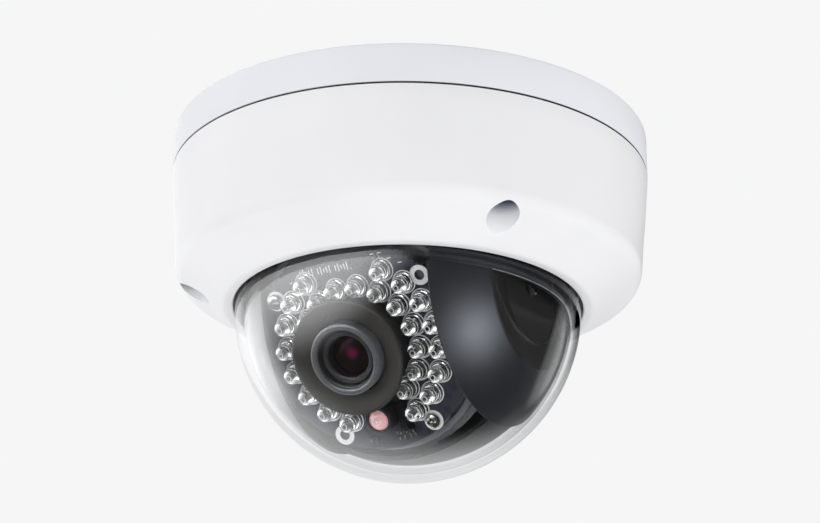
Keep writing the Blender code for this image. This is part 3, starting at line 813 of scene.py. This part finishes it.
def board_outline():
    """Edge of the infra-red board: flat top, toothed corners, round below."""
    radius = reach("led_board", LENS)
    corner_angle = degrees(asin(BOARD_SHOULDER / radius))
    start = Vector((-BOARD_TOP_HALF, BOARD_TOP))
    end = Vector((-radius * cos(radians(corner_angle)), BOARD_SHOULDER))
    step_out = Vector((-(end - start).y, (end - start).x)).normalized() * 0.5
    teeth = []
    for k in range(TEETH):
        for share, out in ((0.15, 0), (0.15, 1), (0.65, 1), (0.65, 0)):
            point = start.lerp(end, (k + share) / TEETH) + step_out * (out - 0.5)
            teeth.append((point.x, point.y))
    right = [(-x, y) for x, y in reversed(teeth)]
    bottom = arc((0, 0), radius, 180 - corner_angle, 360 + corner_angle, 140)
    top = [(BOARD_TOP_HALF, BOARD_TOP), (-BOARD_TOP_HALF, BOARD_TOP)]
    return top + teeth + bottom + right


def led_board():
    """Infra-red board and its white print of rings, dashes and bars."""
    holes = [circle(0, 0, 9.4, 64)] + [circle(x, y, 1.1, 32) for x, y in BOARD_HOLES]
    mesh = to_mesh("ir_board", sheet(board_outline(), holes, BOARD_BACK, BOARD_FRONT),
                   ("circuit_black",))
    settle(place_mesh("ir_board", mesh, LENS), "camera_module", "circuit_black",
           "led_board")
    low, high = BOARD_FRONT - 0.02, BOARD_FRONT + 0.03
    print_parts = [sheet(circle(x, y, 2.35, 48), [circle(x, y, 1.2, 48)], low, high)
                   for x, y in BOARD_HOLES]
    for node in LED_NODES:
        x, y, _ = middle(LENS, node)
        print_parts.append(sheet(circle(x, y, 2.78, 48), [circle(x, y, 2.5, 48)], low, high))
    print_parts += [brick((x - 0.5, y - 0.12, low), (x + 0.5, y + 0.12, high))
                    for x, y in DASHES]
    print_parts += [brick((x - 0.14, y - half, low), (x + 0.14, y + half, high))
                    for x, y, half in BARS]
    white = place_mesh("board_print", to_mesh("board_print", join(*print_parts),
                                              ("white_print",)), LENS)
    settle(white, "camera_module", "circuit_black")


def chips():
    """Small resistors and solder joints on the board's free areas."""
    spots = [(3.2, 18.2, 20), (9.3, 19.4, 20), (-12.4, 17.2, -35), (21.8, 9.6, 60),
             (5.6, -22.4, 5), (2.8, -22.8, 0), (-4.5, -22.6, -5), (7.2, -13.6, 60)]
    bodies, ends = [], []
    for x, y, angle in spots:
        turn = Matrix.Translation((x, y, 0)) @ Matrix.Rotation(radians(angle), 4, "Z")
        body = brick((-0.5, -0.4, BOARD_FRONT), (0.5, 0.4, BOARD_FRONT + 0.4))
        tins = join(brick((-0.85, -0.42, BOARD_FRONT), (-0.5, 0.42, BOARD_FRONT + 0.42)),
                    brick((0.5, -0.42, BOARD_FRONT), (0.85, 0.42, BOARD_FRONT + 0.42)))
        bmesh.ops.transform(body, matrix=turn, verts=body.verts)
        bmesh.ops.transform(tins, matrix=turn, verts=tins.verts)
        bodies.append(body)
        ends.append(tins)
    for name, parts, finish in (("chip_bodies", bodies, "barrel_inside"),
                                ("chip_ends", ends, "solder")):
        piece = place_mesh(name, to_mesh(name, join(*parts), (finish,)), LENS)
        settle(piece, "camera_module", "circuit_black")


def ir_leds():
    """Clear lamps: flange, stepped epoxy body and round end, with a cup and die inside."""
    foot, tip = LED_FOOT, LED_TIP
    outline = [(0, foot), (2.25, foot), (2.32, foot + 0.12), (2.32, foot + 0.70),
               (2.22, foot + 0.85), (2.04, foot + 0.90), (2.0, foot + 1.05),
               (2.0, foot + 2.15), (1.92, foot + 2.25), (1.84, foot + 2.30),
               (1.82, foot + 3.05), (1.74, foot + 3.15), (1.66, foot + 3.2)]
    crown = tip - foot - 3.2
    outline += [(1.66 * cos(a), foot + 3.2 + crown * sin(a))
                for a in [radians(90 * k / 12) for k in range(1, 13)]]
    outline[-1] = (0, tip)
    cup_top = foot + 2.1
    cup = [(0, foot + 0.4), (0.9, foot + 0.4), (0.95, foot + 1.2), (1.2, cup_top - 0.2),
           (1.2, cup_top), (1.08, cup_top), (0.5, cup_top - 0.7), (0, cup_top - 0.7)]
    die = brick((-0.24, -0.24, cup_top - 0.65), (0.24, 0.24, cup_top - 0.4))
    # Thin bright rings at the epoxy's steps and at its tip: painted highlight lines.
    rings = [ring_wire(2.30, foot + 0.80, 0.11), ring_wire(1.98, foot + 2.22, 0.08),
             ring_wire(1.78, foot + 3.1, 0.07), ring_wire(0.60, tip - 0.12, 0.11)]
    epoxy_mesh = to_mesh("lamp_epoxy", lathe(outline, 40), ("led_epoxy",), 40)
    metal_mesh = to_mesh("lamp_cup", join(lathe(cup, 32), die), ("led_reflector",), 30)
    ring_mesh = to_mesh("lamp_rings", join(*rings), ("painted_highlight",), 60)
    for number, node in enumerate(LED_NODES, 1):
        x, y, _ = middle(LENS, node)
        place = LENS @ Matrix.Translation((x * MM, y * MM, 0))
        lamp = place_mesh(f"lamp_{number:02d}", epoxy_mesh, place)
        settle(lamp, "camera_module", "led_clear", node)
        for name, mesh in (("cup", metal_mesh), ("rings", ring_mesh)):
            piece = place_mesh(f"lamp_{name}_{number:02d}", mesh, place)
            settle(piece, "camera_module", "led_clear")


def ring_wire(radius, height, tube, steps=40):
    """A thin round ring about Z."""
    loop = [(radius + tube * cos(2 * pi * k / 6), height + tube * sin(2 * pi * k / 6))
            for k in range(6)]
    return lathe(loop, steps)


def photocell():
    """Day and night sensor: round black holder and domed red window."""
    x, y, _ = middle(LENS, "photocell_holder")
    place = LENS @ Matrix.Translation((x * MM, y * MM, 0))
    foot, front = heights("photocell_holder", LENS)
    outline = [(0, foot), (3.3, foot), (3.3, front - 0.3), (3.1, front - 0.05),
               (2.9, front), (2.55, front - 0.05), (2.5, front - 1.6), (0, front - 1.6)]
    turned_piece("sensor_holder", outline, "barrel_inside", place, "camera_module",
                 "black_plastic", "photocell_holder", steps=64)
    window = [(0, front - 1.5), (2.32, front - 1.5), (2.32, front - 0.5)]
    window += arc((0, front - 3.0), 3.4, 45, 90, 8)
    window[-1] = (0, window[-1][1])
    turned_piece("sensor_window", window, "photocell_red", place, "camera_module",
                 "photocell_red", "photocell_window", steps=48)


def sensor_connector():
    """Black connector beside the photocell, its tinned pins, and the photocell's die in bright
    paint with a painted glint ring round it.
    """
    x, y, _ = middle(LENS, "photocell_holder")
    near = x + 3.6
    body = join(brick((near, y - 3.9, BOARD_FRONT), (near + 1.7, y + 2.2, BOARD_FRONT + 2.8)),
                brick((near - 0.2, y - 4.6, BOARD_FRONT),
                      (near + 2.1, y - 3.7, BOARD_FRONT + 1.4)))
    settle(place_mesh("sensor_plug", to_mesh("sensor_plug", body, ("black_plastic",)),
                      LENS), "camera_module", "black_plastic")
    pins = [brick((x + 0.9 + 0.8 * k, y - 5.3, BOARD_FRONT),
                  (x + 1.3 + 0.8 * k, y - 4.7, BOARD_FRONT + 0.5)) for k in range(6)]
    settle(place_mesh("plug_pins", to_mesh("plug_pins", join(*pins), ("solder",)), LENS),
           "camera_module", "circuit_black")
    top = heights("photocell_holder", LENS)[1] + 0.38
    # The die is a small bright square on the window, and the ring round it is a painted glint.
    die = join(brick((-0.28, -0.28, top), (0.28, 0.28, top + 0.12)),
               ring_wire(0.8, top - 0.05, 0.09))
    settle(place_mesh("sensor_die_and_glint", to_mesh("sensor_die_and_glint", die, ("painted_highlight",)),
                      LENS @ Matrix.Translation((x * MM, y * MM, 0))),
           "camera_module", "photocell_red")


def lens_shade():
    """Flared shade with a dished face and a rolled rim."""
    foot, rim = heights("lens_shade", LENS)
    rim_r = reach("lens_shade", LENS)
    outline = [(MODULE_BORE, foot), (10.9, foot), (11.1, foot + 3.5), (11.5, 31.2), (12.3, 33.0),
               (rim_r - 0.35, rim - 1.1), (rim_r, rim - 0.55), (rim_r - 0.05, rim - 0.2),
               (rim_r - 0.35, rim), (rim_r - 0.8, rim - 0.05), (11.4, rim - 0.55),
               (9.6, rim - 1.0), (MODULE_BORE, rim - 1.25)]
    turned_piece("flared_shade", outline, "shade_plastic", LENS, "camera_module",
                 "shade_plastic", "lens_shade", steps=128, sharp=50)


def lens_barrel():
    """Barrel with its grey front ring, stepped black mouth, inner ring and glass."""
    front = heights("lens_barrel", LENS)[1]
    outline = [(6.9, 12.0), (8.45, 12.0), (8.45, front - 0.7), (8.3, front - 0.25),
               (7.9, front), (7.35, front - 0.02), (7.0, front - 0.25), (6.9, front - 0.6)]
    turned_piece("front_ring", outline, "barrel_metal", LENS, "camera_module",
                 "barrel_metal", "lens_barrel", steps=128, sharp=50)
    mouth = [(0, 28.0), (6.85, 28.0), (6.85, front - 0.75), (6.6, front - 1.0),
             (6.35, 34.4), (6.2, 34.2), (4.9, 34.0), (4.8, 33.0), (4.75, 31.0), (0, 31.0)]
    turned_piece("barrel_mouth", mouth, "barrel_inside", LENS, "camera_module",
                 "barrel_metal", steps=128)
    ring = [(4.95, 33.5), (6.15, 33.5), (6.15, 34.45), (6.0, 34.6), (5.2, 34.5),
            (4.95, 34.2)]
    turned_piece("inner_ring", ring, "barrel_step", LENS, "camera_module",
                 "barrel_metal", steps=96)
    glass = [(0, 31.1), (4.6, 31.1), (4.6, 32.2)]
    glass += arc((0, 25.1), 8.45, 57, 90, 12)
    glass[-1] = (0, glass[-1][1])
    turned_piece("front_glass", glass, "lens_glass", LENS, "camera_module", "lens_glass",
                 "front_lens", steps=96)


def board_screws():
    """Low screws with a cross recess in two of the board's corners."""
    seat = BOARD_FRONT + 0.05
    for number in (1, 2):
        x, y, _ = middle(LENS, f"board_screw_{number}")
        outline = [(0, 21.0), (0.8, 21.0), (0.8, seat), (1.75, seat), (1.8, seat + 0.25),
                   (1.75, seat + 0.8), (1.55, seat + 1.2), (1.1, seat + 1.42),
                   (0, seat + 1.5)]
        place = LENS @ Matrix.Translation((x * MM, y * MM, 0))
        screw = place_mesh(f"corner_screw_{number}",
                           to_mesh("corner_screw", lathe(outline, 40), ("steel",)), place)
        carve(screw, brick((-1.1, -0.25, seat + 0.7), (1.1, 0.25, seat + 2)))
        carve(screw, brick((-0.25, -1.1, seat + 0.7), (0.25, 1.1, seat + 2)))
        settle(screw, "camera_module", "screw_steel", f"board_screw_{number}")


def kept_nodes():
    """CAD pieces that keep their meshes, with their finishes."""
    kept = {"dome_seal": "black_rubber",
            "dome_clamp_ring": "zinc_plate", "chassis_plate": "zinc_plate",
            "main_board": "circuit_green", "sensor_board": "circuit_green",
            "pan_turntable": "black_plastic", "pan_retainer": "black_plastic",
            "tilt_frame": "grey_plastic"}
    for node, finish in kept.items():
        mesh = frame["nodes"][node].data
        mesh.materials.clear()
        mesh.materials.append(FINISH[finish])


# Studio -------------------------------------------------------------------------------
FLOOR_HALF, FLOOR_Z = 1.2, -1.5
BACKDROP = 0.925          # level of the sky where the camera sees it

# The sky's levels: a base, then soft spots, each (direction, low and high cosine, level).
# SOFT lights the matt surfaces and GLOW is what the shiny ones mirror.
SOFT_LEVEL = 0.56
SOFT_LOBES = (((0, 0, -1), 0.0, 1.0, 0.6), ((-1, -0.2, 0.3), 0.2, 1.0, 0.22),
              ((1, -0.2, 0.3), 0.2, 1.0, 0.58))
GLOW_LEVEL = 0.06
GLOW_LOBES = (((-0.32, 0.90, -0.25), 0.50, 0.90, 2.2), ((0.0, 1.0, -0.05), 0.75, 0.97, -1.3),
              ((-0.80, 0.58, -0.08), 0.93, 0.99, 1.3), ((-0.75, -0.35, 0.55), 0.38, 0.95, 6.6),
              ((0.68, 0.73, 0.05), 0.957, 0.99, 1.1))

# Lamps: place, size in metres, power in watts. The sheen lights only the black cheeks.
LAMPS = (("under", (0.0, -0.84, -1.16), 1.0, 6.4),
         ("sheen", (0.72, -0.52, -0.46), 0.34, 10.5))
SHEEN_COLOUR = (0.86, 0.91, 1.0)


def studio_floor():
    """Pale floor far below."""
    floor = bpy.data.meshes.new("floor")
    bm = bmesh.new()
    bmesh.ops.create_grid(bm, x_segments=1, y_segments=1, size=FLOOR_HALF)
    bm.to_mesh(floor)
    bm.free()
    floor.materials.append(FINISH["floor_paint"])
    floor_piece = place_mesh("floor", floor, Matrix.Translation((0, 0, FLOOR_Z)))
    floor_piece.visible_glossy = floor_piece.visible_transmission = False


def studio_lamps():
    """Two soft lamps aimed at the ball."""
    for name, at, size, power in LAMPS:
        light = bpy.data.lights.new(name, "AREA")
        light.size, light.energy = size, power
        lamp = place_mesh(name, light, Matrix.Identity(4))
        lamp.location = at
        lamp.rotation_euler = (Vector(at) - BALL).to_track_quat("Z", "Y").to_euler()
        if name == "sheen":
            light.color = SHEEN_COLOUR
            cheeks = bpy.data.collections.new("cheeks")
            for side in SIDES:
                cheeks.objects.link(bpy.data.objects[f"cheek_{side}"])
            lamp.light_linking.receiver_collection = cheeks
        else:
            lamp.visible_glossy = False


def studio_sky():
    """Sky that is plain to the camera and brighter behind and below for the pieces."""
    world = bpy.data.worlds.new("studio")
    bpy.context.scene.world = world
    world.use_nodes = True
    tree = world.node_tree
    tree.nodes.clear()
    wire = Wire(tree)
    sky = wire.node("TexCoord")
    world.cycles.sampling_method = "NONE"
    camera_ray, diffuse_ray = [wire.node("LightPath", output=k) for k in (0, 2)]
    soft, glow = SOFT_LEVEL, GLOW_LEVEL
    for axis, low, high, level in SOFT_LOBES:
        soft = soft + lobe(wire, sky, axis, low, high) * level
    for axis, low, high, level in GLOW_LOBES:
        glow = glow + lobe(wire, sky, axis, low, high) * level
    unseen = diffuse_ray * soft + (1 - diffuse_ray) * glow
    strength = camera_ray * BACKDROP + (1 - camera_ray) * unseen
    shine = wire.node("Background", (), {"Color": (0.995, 0.995, 1.0),
                                         "Strength": strength})
    output = tree.nodes.new("ShaderNodeOutputWorld")
    tree.links.new(shine.socket, output.inputs["Surface"])
    bpy.context.scene.view_settings.view_transform = "Standard"


def lobe(wire, sky, axis, low, high):
    """1 along a direction, falling to 0 where its cosine drops from high to low."""
    aim = wire.node("VectorMath", {"operation": "DOT_PRODUCT"},
                    {0: sky, 1: tuple(Vector(axis).normalized())}, 1)
    return aim.between(low, high)


CAMERA_BELOW, CAMERA_ROLL, CAMERA_AWAY = radians(21.155), radians(0.895), 0.9
CAMERA_TARGET = Vector((0, 0, -0.040))
CAMERA_SENSOR, CAMERA_LENS, CAMERA_SHIFT = 36.0, 170.9, (0.0022, 0.0475)


def camera():
    """Camera below the dome, looking up at it."""
    below, roll = CAMERA_BELOW, CAMERA_ROLL
    back = Vector((0, -cos(below), -sin(below)))
    up = Vector((0, -sin(below), cos(below)))
    right = Vector((1, 0, 0))
    lens = bpy.data.cameras.new("camera")
    lens.sensor_width, lens.lens = CAMERA_SENSOR, CAMERA_LENS
    lens.shift_x, lens.shift_y = CAMERA_SHIFT
    eye = bpy.data.objects.new("camera", lens)
    bpy.context.scene.collection.objects.link(eye)
    turned_right = right * cos(roll) + up * sin(roll)
    turned_up = up * cos(roll) - right * sin(roll)
    matrix = Matrix((turned_right, turned_up, back)).transposed().to_4x4()
    matrix.translation = CAMERA_TARGET + back * CAMERA_AWAY
    eye.matrix_world = matrix
    bpy.context.scene.camera = eye


camera()
kept_nodes()
for make in (mounting_base, seam_gasket, dome_cover, cover_screws, clear_dome, side_shells,
             tilt_screws, eyeball_shell, board_tray, led_board, chips, ir_leds, photocell,
             sensor_connector, lens_shade, lens_barrel, board_screws, studio_floor,
             studio_lamps, studio_sky):
    make()

bpy.context.view_layer.update()
